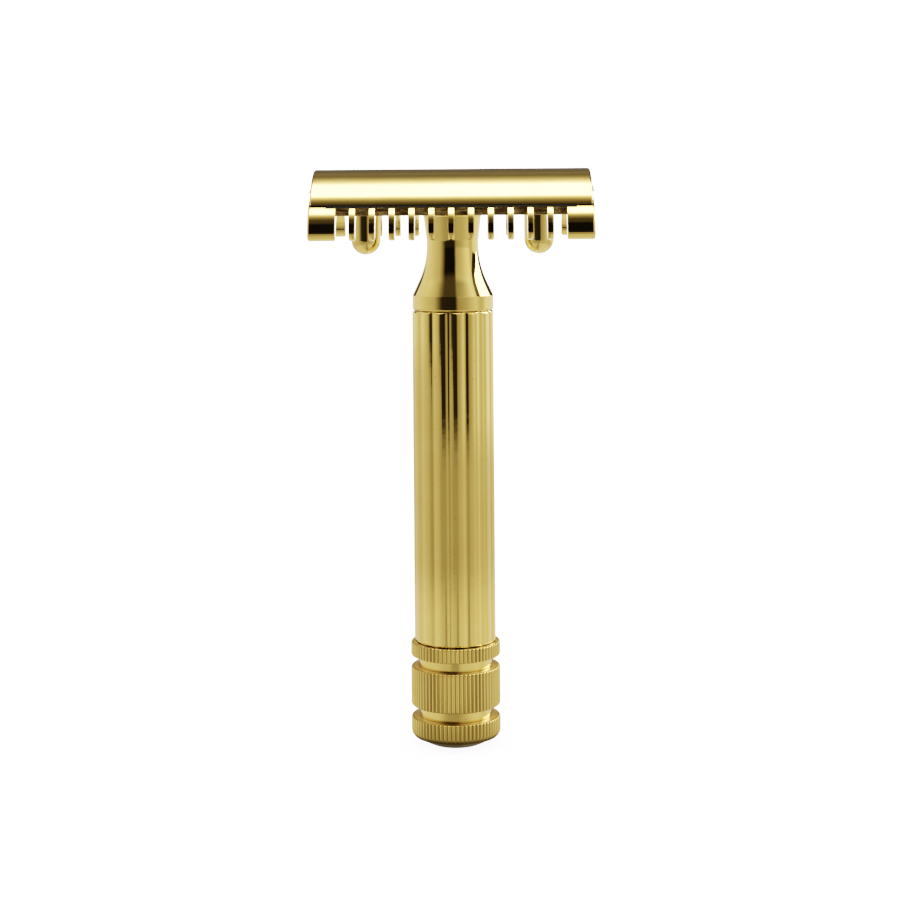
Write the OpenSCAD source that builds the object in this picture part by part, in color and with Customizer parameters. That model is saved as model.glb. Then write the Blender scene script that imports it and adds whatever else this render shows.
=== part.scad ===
// Three-piece double-edge safety razor with an open-comb guard.
// The foot of the handle stands on z = 0, and the handle's axis is the Z axis.
// The two cutting edges run along X, one on each side of the head in Y.

/* [Head] */
// Length of the guard plate along the cutting edges
plate_length = 42.6; // [42.4:0.1:43.6]
// Length of the cap along the cutting edges
cap_length = 42.2; // [41.4:0.1:42.4]
// Radius of the arched bed that bends the blade
bed_radius = 19; // [18:0.5:21]
// Height of the bed's crest above the foot
bed_crest = 85.2; // [84.5:0.1:86.5]
// Wall of the guard plate
plate_wall = 2.3; // [2:0.1:2.4]
// Outside radius of the curl that turns each side of the plate down into the comb
curl_radius = 4.45; // [4:0.05:4.8]
// Angle above the horizontal at which the bed runs into the curl
curl_start = 57; // [55:0.5:59]

/* [Comb] */
// Number of teeth on each side
tooth_count = 11; // [9:2:11]
// Distance from one tooth to the next
tooth_pitch = 2.94; // [2.8:0.02:3]
// Width of a tooth
tooth_width = 0.92; // [0.8:0.02:1.3]
// Distance from the middle of the plate to the bottom of the slots
slot_root = 8; // [7.8:0.1:8.6]

/* [Cap] */
// Height of the top of the cap above the foot
cap_top = 87.9; // [87.5:0.1:88.6]
// Radius of the cap's shallow crown
crown_radius = 12.6; // [12.2:0.1:13]
// Radius of the cap's rounded shoulders
shoulder_radius = 5.4; // [5.2:0.1:5.6]
// Half of the cap's depth, measured at the edge that presses on the blade
cap_half_depth = 10.05; // [9.95:0.05:10.15]

/* [Blade] */
// Length of the blade over its end tabs
blade_length = 42.9; // [42.4:0.1:43]
// Length of each cutting edge
blade_edge_length = 37.3; // [36:0.1:38]
// Flat width of the blade from edge to edge
blade_width = 22.1; // [21.9:0.1:22.1]
// Thickness of the blade
blade_thickness = 0.1; // [0.08:0.01:0.1]

/* [Stud and pegs] */
// Outside diameter of the stud's thread
stud_diameter = 4.9; // [4.6:0.1:4.9]
// Height of the stud's lower tip above the foot
stud_tip = 70.4; // [70:0.1:76]
// Diameter of the two locating pegs
peg_diameter = 4.5; // [4:0.1:4.8]
// Distance between the pegs' axes
peg_spacing = 26.6; // [26:0.1:27]
// Height of the pegs' round tips above the foot
peg_tip = 74.8; // [74:0.1:78]

/* [Handle] */
// Outside diameter of the grip tube
tube_diameter = 12.5; // [12:0.1:13]
// Number of rounded ribs round the grip
rib_count = 15; // [12:1:18]
// Radius of each rib's round back
rib_radius = 1.92; // [1.6:0.02:2.2]
// Depth of the valleys between the ribs
rib_depth = 0.26; // [0.2:0.01:0.3]
// Radius of the neck at its waist
waist_radius = 3.95; // [3.6:0.05:4.2]
// Height of the waist above the foot
waist_height = 76.3; // [76:0.1:77.2]
// Radius of the hollow curve that runs down from the waist
waist_curve = 13.5; // [13:0.1:14]
// Lean of the straight flare that runs from that curve out to the collar, in degrees from upright
flare_lean = 25.5; // [25:0.5:27]
// Outside diameter of the three knurled rings
ring_diameter = 13.66; // [13.4:0.02:14]
// Number of teeth in the straight knurling
knurl_count = 66; // [48:2:72]
// Depth of the knurling
knurl_depth = 0.2; // [0.1:0.02:0.3]

/* [Hidden] */
$fn = 96;

// Gap between the blade and the plate, and between the blade and the cap
layer_gap = 0.02;
// Gap round the pegs and in the tapped bore
running_gap = 0.05;
// Bevel at the mouth of the bore and at the ends of the spigots
hole_edge = 0.3;
// How far a cutter reaches past the solid that it cuts
past = 1;

// Guard plate
arch_z = bed_crest - bed_radius;
curl_y = (bed_radius - curl_radius) * cos(curl_start);
curl_z = arch_z + (bed_radius - curl_radius) * sin(curl_start);
comb_reach = curl_y + curl_radius;
slot_width = tooth_pitch - tooth_width;
boss_radius = 4.55;
boss_bottom = 80.6;
stud_hole_radius = 2.7;

// Cap
cap_under_radius = bed_radius + blade_thickness + 2 * layer_gap;
socket_depth = 1.2;
socket_top = arch_z + cap_under_radius + socket_depth;
crown_z = cap_top - crown_radius;
shoulder_y = 5.12;
shoulder_z = crown_z + sqrt(pow(crown_radius - shoulder_radius, 2) - pow(shoulder_y, 2));
shoulder_start = shoulder_y * crown_radius / (crown_radius - shoulder_radius);

// Blade
blade_radius = bed_radius + layer_gap;
blade_half_angle = blade_width / 2 / blade_radius * 180 / PI;
blade_half_chord = (blade_radius + blade_thickness) * sin(blade_half_angle);
tab_half_width = 6.5;
blade_slot_length = 34;
blade_slot_width = 3.6;
blade_stud_clearance = 0.75;
blade_peg_clearance = 0.2;

// Stud and pegs
stud_radius = stud_diameter / 2;
stud_chamfer = 0.6;
peg_radius = peg_diameter / 2;

// Handle
tube_radius = tube_diameter / 2;
tube_top = 66.3;
tube_bottom = 15.5;
tube_bore = 5;
spigot_length = 10;
collar_radius = tube_radius - 0.04;
collar_chamfer = 0.25;
// The stem runs straight up from the waist to top_curve_z, then widens again to meet the boss
top_curve = 6;
top_curve_z = 78;
flare_top_radius = waist_radius + waist_curve * (1 - cos(flare_lean));
flare_top_z = waist_height - waist_curve * sin(flare_lean);
thread_bore_radius = stud_radius + running_gap;
thread_bore_bottom = 69;
valley_radius = tube_radius - rib_depth;
ring_radius = ring_diameter / 2;
ring_chamfer = 0.3;
// Each knurled ring: height of its lower face, height of its upper face
rings = [[2, 4.1], [5.85, 11.75], [13.4, tube_bottom]];
upper_groove_radius = 5.55;
lower_groove_radius = 5.45;
foot_radius = 4;
foot_rim_radius = 5.7;
foot_rim_z = 0.9;
foot_sphere_z = (pow(foot_rim_radius, 2) - pow(foot_radius, 2) + pow(foot_rim_z, 2)) / (2 * foot_rim_z);
foot_sphere_radius = sqrt(pow(foot_radius, 2) + pow(foot_sphere_z, 2));

// Extrudes a (Y, Z) outline along X, centred on the handle's axis
module along_x(length) {
    rotate([90, 0, 90])
        linear_extrude(length, center = true)
            children();
}

// A ring in the (Y, Z) plane, centred on the axis of the bed's arch
module arch_ring(inner, outer) {
    translate([0, arch_z])
        difference() {
            circle(outer);
            circle(inner);
        }
}

// A solid of revolution that bevels both rims of whatever it is intersected with.
// Its bevels start at rim_radius on the two end faces and slope outwards at 45 degrees.
module rim_bevels(rim_radius, low, high) {
    reach = (high - low) / 2;
    rotate_extrude()
        polygon([
            [0, low],
            [rim_radius, low],
            [rim_radius + reach, low + reach],
            [rim_radius, high],
            [0, high]
        ]);
}

// Upright hole through the whole head
module head_hole(x, radius) {
    translate([x, 0, boss_bottom - past])
        cylinder(r = radius, h = cap_top - boss_bottom);
}

// The part of a disc round the bed's axis that lies between the two curls
module bed_disc(radius) {
    far = 2 * bed_radius;
    translate([0, arch_z])
        intersection() {
            circle(radius);
            polygon([
                [0, 0],
                [far * cos(curl_start), far * sin(curl_start)],
                [-far * cos(curl_start), far * sin(curl_start)]
            ]);
        }
}

// A pair of discs that round off the two sides of the plate
module curl_discs(offset_y, radius) {
    for (side = [-1, 1])
        translate([side * (curl_y + offset_y), curl_z])
            circle(radius);
}

// Guard plate's section: an arched bed whose sides curl down and end in a round lip
module plate_section() {
    difference() {
        union() {
            bed_disc(bed_radius);
            curl_discs(0, curl_radius);
        }
        bed_disc(bed_radius - plate_wall);
        curl_discs(0, curl_radius - plate_wall);
        translate([-2 * comb_reach, curl_z - 2 * comb_reach])
            square([4 * comb_reach, 2 * comb_reach]);
    }
    curl_discs(curl_radius - plate_wall / 2, plate_wall / 2);
}

// One slot on each side of the plate, as a pair of cutters
module slot_pair(x) {
    depth = comb_reach - slot_root + past;
    for (side = [-1, 1])
        translate([x - slot_width / 2, side * (slot_root + depth / 2) - depth / 2, curl_z - plate_wall])
            cube([slot_width, depth, bed_crest - curl_z + plate_wall]);
}

module base_plate() {
    color("goldenrod")
        difference() {
            union() {
                along_x(plate_length)
                    plate_section();
                translate([0, 0, boss_bottom])
                    cylinder(r = boss_radius, h = bed_crest - plate_wall / 2 - boss_bottom);
            }
            for (i = [0 : tooth_count])
                slot_pair((i - tooth_count / 2) * tooth_pitch);
            head_hole(0, stud_hole_radius);
            for (side = [-1, 1])
                head_hole(side * peg_spacing / 2, peg_radius + running_gap);
        }
}

// Cap's section: a shallow crown, rounded shoulders and an arched underside
module cap_section() {
    difference() {
        union() {
            intersection() {
                translate([0, crown_z])
                    circle(crown_radius);
                translate([-shoulder_start, arch_z + past])
                    square([2 * shoulder_start, cap_top - arch_z]);
            }
            for (side = [-1, 1])
                translate([side * shoulder_y, shoulder_z])
                    circle(shoulder_radius);
        }
        translate([0, arch_z])
            circle(cap_under_radius);
    }
}

module cap() {
    color("gold")
        difference() {
            intersection() {
                along_x(cap_length)
                    cap_section();
                translate([-cap_length, -cap_half_depth, shoulder_z])
                    cube([2 * cap_length, 2 * cap_half_depth, cap_top]);
            }
            socket(0, stud_radius);
            socket(-peg_spacing / 2, peg_radius);
            socket(peg_spacing / 2, peg_radius);
        }
}

// Blind hole in the cap's underside that holds the stud or a peg
module socket(x, radius) {
    translate([x, 0, socket_top - socket_depth - past])
        cylinder(r = radius, h = socket_depth + past);
}

// The threaded stud, drawn as a plain cylinder over its thread
module threaded_stud() {
    color("darkgoldenrod") {
        translate([0, 0, stud_tip + stud_chamfer])
            cylinder(r = stud_radius, h = socket_top - stud_tip - stud_chamfer);
        translate([0, 0, stud_tip])
            cylinder(r1 = stud_radius - stud_chamfer, r2 = stud_radius, h = stud_chamfer);
    }
}

// A locating peg with a half-round tip
module peg(x) {
    color("gold")
        translate([x, 0, peg_tip + peg_radius]) {
            cylinder(r = peg_radius, h = socket_top - peg_tip - peg_radius);
            sphere(peg_radius);
        }
}

module left_peg() {
    peg(-peg_spacing / 2);
}

module right_peg() {
    peg(peg_spacing / 2);
}

// The replaceable blade, bent over the bed as the tightened cap holds it
module blade() {
    color("silver")
        difference() {
            intersection() {
                along_x(blade_length)
                    arch_ring(blade_radius, blade_radius + blade_thickness);
                translate([-blade_length, -blade_half_chord, arch_z + bed_radius / 2])
                    cube([2 * blade_length, 2 * blade_half_chord, bed_radius]);
            }
            for (end = [-1, 1], side = [-1, 1])
                translate([
                    end * (blade_edge_length / 2 + blade_length / 2),
                    side * (tab_half_width + bed_radius / 2),
                    bed_crest - bed_radius / 2
                ])
                    cube([blade_length, bed_radius, 2 * bed_radius], center = true);
            translate([0, 0, bed_crest])
                cube([blade_slot_length, blade_slot_width, 2 * plate_wall], center = true);
            head_hole(0, stud_radius + blade_stud_clearance);
            for (side = [-1, 1])
                head_hole(side * peg_spacing / 2, peg_radius + blade_peg_clearance);
        }
}

// Neck's outline: a collar, a flared and waisted stem above it and a spigot below it
module neck_outline() {
    cut_radius = collar_radius + past;
    cut_z = flare_top_z - (cut_radius - flare_top_radius) / tan(flare_lean);
    difference() {
        polygon([
            [0, tube_top - spigot_length],
            [tube_bore - hole_edge, tube_top - spigot_length],
            [tube_bore, tube_top - spigot_length + hole_edge],
            [tube_bore, tube_top],
            [collar_radius - collar_chamfer, tube_top],
            [collar_radius, tube_top + collar_chamfer],
            [collar_radius, boss_bottom],
            [0, boss_bottom]
        ]);
        translate([waist_radius + waist_curve, waist_height])
            circle(waist_curve);
        polygon([
            [flare_top_radius, flare_top_z],
            [cut_radius, cut_z],
            [cut_radius, flare_top_z]
        ]);
        translate([waist_radius + top_curve, top_curve_z])
            circle(top_curve);
        translate([waist_radius, waist_height])
            square([waist_curve, top_curve_z - waist_height]);
    }
}

module neck() {
    color("gold")
        difference() {
            rotate_extrude()
                neck_outline();
            translate([0, 0, thread_bore_bottom])
                cylinder(r = thread_bore_radius, h = boss_bottom - thread_bore_bottom + past);
            translate([0, 0, boss_bottom - hole_edge])
                cylinder(r1 = thread_bore_radius, r2 = thread_bore_radius + hole_edge + past, h = hole_edge + past);
        }
}

// Grip's outline, seen along the handle: rounded ribs side by side on a round core
module rib_outline() {
    circle(valley_radius);
    for (i = [0 : rib_count - 1])
        rotate((i + 0.5) * 360 / rib_count)
            translate([tube_radius - rib_radius, 0])
                circle(rib_radius);
}

module grip_tube() {
    color("goldenrod")
        difference() {
            intersection() {
                translate([0, 0, tube_bottom])
                    linear_extrude(tube_top - tube_bottom)
                        rib_outline();
                rim_bevels(valley_radius, tube_bottom, tube_top);
            }
            translate([0, 0, tube_bottom - past])
                cylinder(r = tube_bore, h = tube_top - tube_bottom + 2 * past);
        }
}

// Outline of the straight knurling, seen along the handle
module knurl_outline() {
    step = 360 / knurl_count;
    polygon([
        for (i = [0 : knurl_count - 1], tip = [0, 1])
            (ring_radius - (1 - tip) * knurl_depth)
                * [cos((i + tip / 2) * step), sin((i + tip / 2) * step)]
    ]);
}

// A knurled ring with its rims bevelled
module knurled_ring(low, high) {
    intersection() {
        translate([0, 0, low])
            linear_extrude(high - low)
                knurl_outline();
        rim_bevels(ring_radius - ring_chamfer, low, high);
    }
}

// Smooth core: the spigot in the tube, the two grooves and the domed foot
module pommel_core() {
    rim = rings[0][0];
    translate([0, 0, tube_bottom])
        cylinder(r = tube_bore, h = spigot_length);
    translate([0, 0, rings[1][1]])
        cylinder(r = upper_groove_radius, h = tube_bottom - rings[1][1]);
    translate([0, 0, rim])
        cylinder(r = lower_groove_radius, h = rings[1][1] - rim);
    translate([0, 0, foot_rim_z])
        cylinder(r1 = foot_rim_radius, r2 = ring_radius - ring_chamfer, h = rim - foot_rim_z);
    rotate_extrude()
        intersection() {
            translate([0, foot_sphere_z])
                circle(foot_sphere_radius);
            square([foot_rim_radius, foot_rim_z]);
        }
}

module pommel() {
    color("goldenrod")
        union() {
            pommel_core();
            for (ring = rings)
                knurled_ring(ring[0], ring[1]);
        }
}

cap();
threaded_stud();
left_peg();
right_peg();
blade();
base_plate();
neck();
grip_tube();
pommel();
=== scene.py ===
import math

import bmesh
import bpy
from mathutils import Matrix, Vector


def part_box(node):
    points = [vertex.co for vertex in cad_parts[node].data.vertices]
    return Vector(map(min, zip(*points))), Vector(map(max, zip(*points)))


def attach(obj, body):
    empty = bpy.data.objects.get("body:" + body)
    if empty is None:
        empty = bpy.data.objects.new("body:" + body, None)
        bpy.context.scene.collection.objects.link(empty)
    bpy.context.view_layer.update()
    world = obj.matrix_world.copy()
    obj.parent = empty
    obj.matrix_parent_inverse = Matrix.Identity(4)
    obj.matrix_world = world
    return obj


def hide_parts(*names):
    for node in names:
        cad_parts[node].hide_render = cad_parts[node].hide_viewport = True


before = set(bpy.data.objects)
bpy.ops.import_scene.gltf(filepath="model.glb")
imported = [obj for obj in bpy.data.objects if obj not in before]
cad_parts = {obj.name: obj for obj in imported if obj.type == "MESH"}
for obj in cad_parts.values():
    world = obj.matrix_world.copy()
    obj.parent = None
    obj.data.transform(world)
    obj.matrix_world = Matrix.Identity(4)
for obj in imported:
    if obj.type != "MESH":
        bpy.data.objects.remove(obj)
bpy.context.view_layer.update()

# ---------------------------------------------------------------- sizes
# Lengths are in millimetres in the row frame, and are turned into metres when a mesh is made.

MM = 0.001


def box_mm(node):
    low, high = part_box(node)
    return low / MM, high / MM


CAP_LOW, CAP_HIGH = box_mm("cap")
PLATE_LOW, PLATE_HIGH = box_mm("base_plate")
BLADE_HIGH = box_mm("blade")[1]
STUD_LOW, STUD_HIGH = box_mm("threaded_stud")
PEG_LOW, PEG_HIGH = box_mm("right_peg")
NECK_LOW, NECK_HIGH = box_mm("neck")
TUBE_LOW, TUBE_HIGH = box_mm("grip_tube")
POMMEL_LOW, POMMEL_HIGH = box_mm("pommel")

# Head
BED_RADIUS = 19.0
ARCH_Z = PLATE_HIGH.z - BED_RADIUS
PLATE_WALL = 2.3
PLATE_ROUNDING = 0.35
CURL_RADIUS = 4.45
CURL_START = math.radians(57)
CURL_Y = PLATE_HIGH.y - CURL_RADIUS
CURL_Z = ARCH_Z + (BED_RADIUS - CURL_RADIUS) * math.sin(CURL_START)
SLOT_ROOT = 8.0
TOOTH_COUNT = 11
TOOTH_PITCH = 2.94
TOOTH_WIDTH = 0.92
BOSS_RADIUS = 4.55
BOSS_CHAMFER = 0.15
STUD_HOLE = 2.7
PEG_X = (PEG_LOW.x + PEG_HIGH.x) / 2
PEG_RADIUS = (PEG_HIGH.x - PEG_LOW.x) / 2
PEG_HOLE = PEG_RADIUS + 0.05

# Cap
CAP_UNDER_RADIUS = BED_RADIUS + 0.14
CAP_ROUNDING = 0.3
CAP_LONG_EDGE_SHARE = 0.15
CROWN_RADIUS = 12.6
SHOULDER_RADIUS = 5.4
SHOULDER_Y = 5.12

# Blade
BLADE_THICKNESS = 0.1
BLADE_RADIUS = BED_RADIUS + 0.02
BLADE_HALF_WIDTH = 11.05
BLADE_GRIND = 0.75
BLADE_EDGE_LENGTH = 37.3
BLADE_TAB = 6.5
BLADE_SLOT_LENGTH = 34.0
BLADE_SLOT_WIDTH = 3.6

# Stud
STUD_RADIUS = STUD_HIGH.x
THREAD_PITCH = 0.8
THREAD_DEPTH = 0.45

# Handle
COLLAR_RADIUS = NECK_HIGH.x
WAIST_RADIUS = 3.95
WAIST_Z = 76.3
WAIST_CURVE = 13.5
FLARE_LEAN = math.radians(25.5)
NECK_TOP_CURVE = 2.5
NECK_TOP_CURVE_Z = 76.8
NECK_TOP_LEAN = math.radians(7)
COLLAR_TOP_FILLET = 0.2
COLLAR_LOWER_ROUND = 0.25
NECK_BORE = 2.5
NECK_BORE_BOTTOM = 69.0
ENTRY_CHAMFER = 0.3
TUBE_RADIUS = COLLAR_RADIUS + 0.04
TUBE_BORE = 5.0
RIB_COUNT = 15
RIB_RADIUS = 1.92
RIB_DEPTH = 0.26
RING_RADIUS = 6.83
RING_ROUND = 0.25
WIDE_RING_ROUND = 0.3
BOTTOM_RING_TOP = 4.1
BOTTOM_RING_SHOULDER = 1.25
BOTTOM_RING_SHOULDER_Z = 2.1
WIDE_RING_LOW, WIDE_RING_HIGH = 5.85, 11.75
TOP_RING_LOW = 13.4
UPPER_GROOVE, LOWER_GROOVE = 5.55, 5.45
FOOT_FLAT = 4.0
FOOT_RIM, FOOT_RIM_Z = 5.7, 0.9
KNURL_COUNT = 66
KNURL_DEPTH = 0.2


# ---------------------------------------------------------------- mesh tools

def new_piece(name, bm):
    """Turns a bmesh in millimetres into a smooth-shaded object in metres."""
    bmesh.ops.remove_doubles(bm, verts=bm.verts, dist=1e-5)
    bmesh.ops.recalc_face_normals(bm, faces=bm.faces)
    bmesh.ops.scale(bm, vec=(MM, MM, MM), verts=bm.verts)
    mesh = bpy.data.meshes.new(name)
    bm.to_mesh(mesh)
    bm.free()
    piece = bpy.data.objects.new(name, mesh)
    bpy.context.scene.collection.objects.link(piece)
    return piece


def apply_modifiers(piece):
    """Replaces the piece's mesh with what its modifiers make of it."""
    graph = bpy.context.evaluated_depsgraph_get()
    mesh = bpy.data.meshes.new_from_object(piece.evaluated_get(graph))
    piece.modifiers.clear()
    piece.data = mesh


def smooth(piece, sharp_angle=40):
    """Smooth shading, creased only at edges sharper than the angle, flat faces kept flat. Faces with
    many corners are cut into triangles last, so that no exporter has to."""
    piece.data.shade_smooth()
    piece.data.set_sharp_from_angle(angle=math.radians(sharp_angle))
    weighted = piece.modifiers.new("flat_faces", "WEIGHTED_NORMAL")
    weighted.keep_sharp = True
    triangles = piece.modifiers.new("triangles", "TRIANGULATE")
    triangles.min_vertices = 5
    triangles.keep_custom_normals = True


def arc(centre, radius, start, end, steps):
    """Points along an arc, angles in radians, both ends included."""
    turn = (end - start) / steps
    return [
        (
            centre[0] + radius * math.cos(start + i * turn),
            centre[1] + radius * math.sin(start + i * turn),
        )
        for i in range(steps + 1)
    ]


def revolve(name, outline, segments, radius_at=None):
    """Solid of revolution about Z from (radius, height) points that start and end on the axis.
    radius_at(radius, height, angle) can shape the surface round the axis."""
    bm = bmesh.new()
    rings = []
    for radius, height in outline:
        if radius < 1e-6:
            rings.append([bm.verts.new((0, 0, height))])
            continue
        ring = []
        for i in range(segments):
            angle = 2 * math.pi * i / segments
            r = radius_at(radius, height, angle) if radius_at else radius
            ring.append(bm.verts.new((r * math.cos(angle), r * math.sin(angle), height)))
        rings.append(ring)
    for lower, upper in zip(rings, rings[1:]):
        join_rings(bm, lower, upper, segments)
    return new_piece(name, bm)


def join_rings(bm, lower, upper, segments):
    for i in range(segments):
        j = (i + 1) % segments
        if len(lower) == 1 and len(upper) == 1:
            return
        if len(lower) == 1:
            bm.faces.new((lower[0], upper[j], upper[i]))
        elif len(upper) == 1:
            bm.faces.new((lower[i], lower[j], upper[0]))
        else:
            bm.faces.new((lower[i], lower[j], upper[j], upper[i]))


def weight_sharp_edges(bm, min_angle, weight_of):
    """Marks the edges sharper than an angle for the bevel, with weight_of(edge) as their weight."""
    bm.normal_update()
    layer = bm.edges.layers.float.get("bevel_weight_edge")
    layer = layer or bm.edges.layers.float.new("bevel_weight_edge")
    for edge in bm.edges:
        if len(edge.link_faces) == 2 and edge.calc_face_angle() > math.radians(min_angle):
            edge[layer] = weight_of(edge)


def bevel(piece, width, segments):
    """Rounds the weighted edges, width in millimetres."""
    rounding = piece.modifiers.new("rounding", "BEVEL")
    rounding.limit_method = "WEIGHT"
    rounding.width = width * MM
    rounding.segments = segments
    rounding.use_clamp_overlap = False
    rounding.miter_outer = "MITER_ARC"
    apply_modifiers(piece)


def cut(piece, cutter, operation="DIFFERENCE"):
    """Boolean of the piece with a temporary object, which is then removed."""
    tool = piece.modifiers.new("cut", "BOOLEAN")
    tool.operation = operation
    tool.solver = "EXACT"
    tool.object = cutter
    apply_modifiers(piece)
    bpy.data.objects.remove(cutter)


def drop_slivers(piece):
    """Removes the faces without area that the booleans leave. The flat faces, which are cut up to
    find them, are joined again afterwards."""
    bm = bmesh.new()
    bm.from_mesh(piece.data)
    bmesh.ops.triangulate(bm, faces=[face for face in bm.faces if len(face.verts) > 4])
    bmesh.ops.dissolve_degenerate(bm, dist=0.001 * MM, edges=bm.edges)
    bmesh.ops.dissolve_limit(bm, angle_limit=math.radians(0.1), edges=bm.edges, delimit={"MATERIAL"})
    bm.to_mesh(piece.data)
    bm.free()


def upright(name, x, outline, segments=64):
    """A revolved cutter or boss standing at x on the head's centre line."""
    piece = revolve(name, outline, segments)
    piece.data.transform(Matrix.Translation((x * MM, 0, 0)))
    return piece


# ---------------------------------------------------------------- head

def arch_points(radius, start_y, end_y, steps):
    """Points on an arch round the bed's axis, evenly spaced in angle."""
    start = math.acos(start_y / radius)
    end = math.acos(end_y / radius)
    return arc((0, ARCH_Z), radius, start, end, steps)


def cap_outline():
    """Closed outline of the cap in (Y, Z): arched underside, rounded shoulders and crown."""
    crown_z = CAP_HIGH.z - CROWN_RADIUS
    reach = CROWN_RADIUS - SHOULDER_RADIUS
    shoulder_z = crown_z + math.sqrt(reach * reach - SHOULDER_Y * SHOULDER_Y)
    blend_angle = math.acos(SHOULDER_Y / reach)
    edge_y = CAP_HIGH.y
    edge_angle = math.acos((edge_y - SHOULDER_Y) / SHOULDER_RADIUS)
    right = arc((SHOULDER_Y, shoulder_z), SHOULDER_RADIUS, edge_angle, blend_angle, 20)
    crown = arc((0, crown_z), CROWN_RADIUS, blend_angle, math.pi - blend_angle, 48)
    left = [(-y, z) for y, z in reversed(right)]
    under = arch_points(CAP_UNDER_RADIUS, -edge_y, edge_y, 56)
    return under + right + crown[1:-1] + left


def make_cap():
    outline = cap_outline()
    bm = bmesh.new()
    ends = []
    for x in (CAP_LOW.x, CAP_HIGH.x):
        ends.append([bm.verts.new((x, y, z)) for y, z in outline])
        bm.faces.new(ends[-1])
    count = len(outline)
    for i in range(count):
        j = (i + 1) % count
        bm.faces.new((ends[0][i], ends[0][j], ends[1][j], ends[1][i]))
    bmesh.ops.recalc_face_normals(bm, faces=bm.faces)

    def weight_of(edge):
        along_x = abs(edge.verts[0].co.x - edge.verts[1].co.x) > 1
        return CAP_LONG_EDGE_SHARE if along_x else 1.0

    weight_sharp_edges(bm, 25, weight_of)
    cap = new_piece("cap_shell", bm)
    bevel(cap, CAP_ROUNDING, 5)
    for x, radius in ((0, STUD_RADIUS), (-PEG_X, PEG_RADIUS), (PEG_X, PEG_RADIUS)):
        socket = [(0, CAP_LOW.z), (radius, CAP_LOW.z), (radius, STUD_HIGH.z), (0, STUD_HIGH.z)]
        cut(cap, upright("socket", x, socket, 96))
    drop_slivers(cap)
    smooth(cap)
    return cap


def comb_outline():
    """Open outline of one comb side in (Y, Z), from the top of the slot root round the lip
    to the bottom of the slot root."""
    centre = (CURL_Y, CURL_Z)
    start_y = BED_RADIUS * math.cos(CURL_START)
    inner_y = (BED_RADIUS - PLATE_WALL) * math.cos(CURL_START)
    lip = (CURL_Y + CURL_RADIUS - PLATE_WALL / 2, CURL_Z)
    top = arch_points(BED_RADIUS, SLOT_ROOT, start_y, 4)
    outer = arc(centre, CURL_RADIUS, CURL_START, 0, 20)
    nose = arc(lip, PLATE_WALL / 2, 0, -math.pi, 14)
    inner = arc(centre, CURL_RADIUS - PLATE_WALL, 0, CURL_START, 12)
    under = arch_points(BED_RADIUS - PLATE_WALL, inner_y, SLOT_ROOT, 3)
    return top + outer[1:] + nose[1:] + inner[1:] + under[1:]


def plate_stations():
    """X of each change along the plate, and whether the comb is solid in the interval that follows."""
    first = -(TOOTH_COUNT - 1) / 2 * TOOTH_PITCH
    xs = [PLATE_LOW.x, first - TOOTH_PITCH + TOOTH_WIDTH / 2]
    for i in range(TOOTH_COUNT):
        centre = first + i * TOOTH_PITCH
        xs += [centre - TOOTH_WIDTH / 2, centre + TOOTH_WIDTH / 2]
    xs += [-xs[1], PLATE_HIGH.x]
    return xs


def make_plate():
    comb = comb_outline()
    comb_count = len(comb)
    top = arch_points(BED_RADIUS, -SLOT_ROOT, SLOT_ROOT, 40)[1:-1]
    under = arch_points(BED_RADIUS - PLATE_WALL, SLOT_ROOT, -SLOT_ROOT, 40)[1:-1]
    left = [(-y, z) for y, z in reversed(comb)]
    outline = top + comb + under + left
    right_start = len(top)
    left_start = right_start + comb_count + len(under)
    count = len(outline)
    stations = plate_stations()
    bm = bmesh.new()
    grid = [[None] * count for _ in stations]

    def vertex(k, i):
        i = i % count
        if grid[k][i] is None:
            y, z = outline[i]
            grid[k][i] = bm.verts.new((stations[k], y, z))
        return grid[k][i]

    def strip(k, first, last):
        for i in range(first, last):
            bm.faces.new((vertex(k, i), vertex(k, i + 1), vertex(k + 1, i + 1), vertex(k + 1, i)))

    def comb_side(k, start):
        bm.faces.new([vertex(k, start + i) for i in range(comb_count)])

    def root_wall(k, start):
        end = start + comb_count - 1
        bm.faces.new((vertex(k, start), vertex(k, end), vertex(k + 1, end), vertex(k + 1, start)))

    for k in range(len(stations) - 1):
        solid = k % 2 == 0
        strip(k, left_start + comb_count - 1, count + right_start)
        strip(k, right_start + comb_count - 1, left_start)
        for start in (right_start, left_start):
            if solid:
                strip(k, start, start + comb_count - 1)
                if k > 0:
                    comb_side(k, start)
                if k < len(stations) - 2:
                    comb_side(k + 1, start)
            else:
                root_wall(k, start)
    for k in (0, len(stations) - 1):
        bm.faces.new([vertex(k, i) for i in range(count)])
    bmesh.ops.recalc_face_normals(bm, faces=bm.faces)
    end_x = PLATE_HIGH.x - 0.01

    def weight_of(edge):
        """The plate's outer corners are rounded most, and the teeth more at their tips
        than along their sides."""
        if all(abs(v.co.x) > end_x for v in edge.verts):
            return 1.0
        height = (edge.verts[0].co.z + edge.verts[1].co.z) / 2
        towards_tip = min(1.0, max(0.0, (CURL_Z - height) / 0.6))
        return 0.18 + 0.67 * towards_tip

    weight_sharp_edges(bm, 30, weight_of)
    plate = new_piece("guard_plate", bm)
    bevel(plate, PLATE_ROUNDING, 4)
    add_boss_and_holes(plate)
    drop_slivers(plate)
    smooth(plate)
    return plate


def mill_slot_roots(plate):
    """Gives the bottoms of the slots the plate's second material."""
    for face in plate.data.polygons:
        at_root = abs(abs(face.center.y) - SLOT_ROOT * MM) < 0.02 * MM
        if at_root and abs(face.normal.y) > 0.9:
            face.material_index = 1


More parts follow.
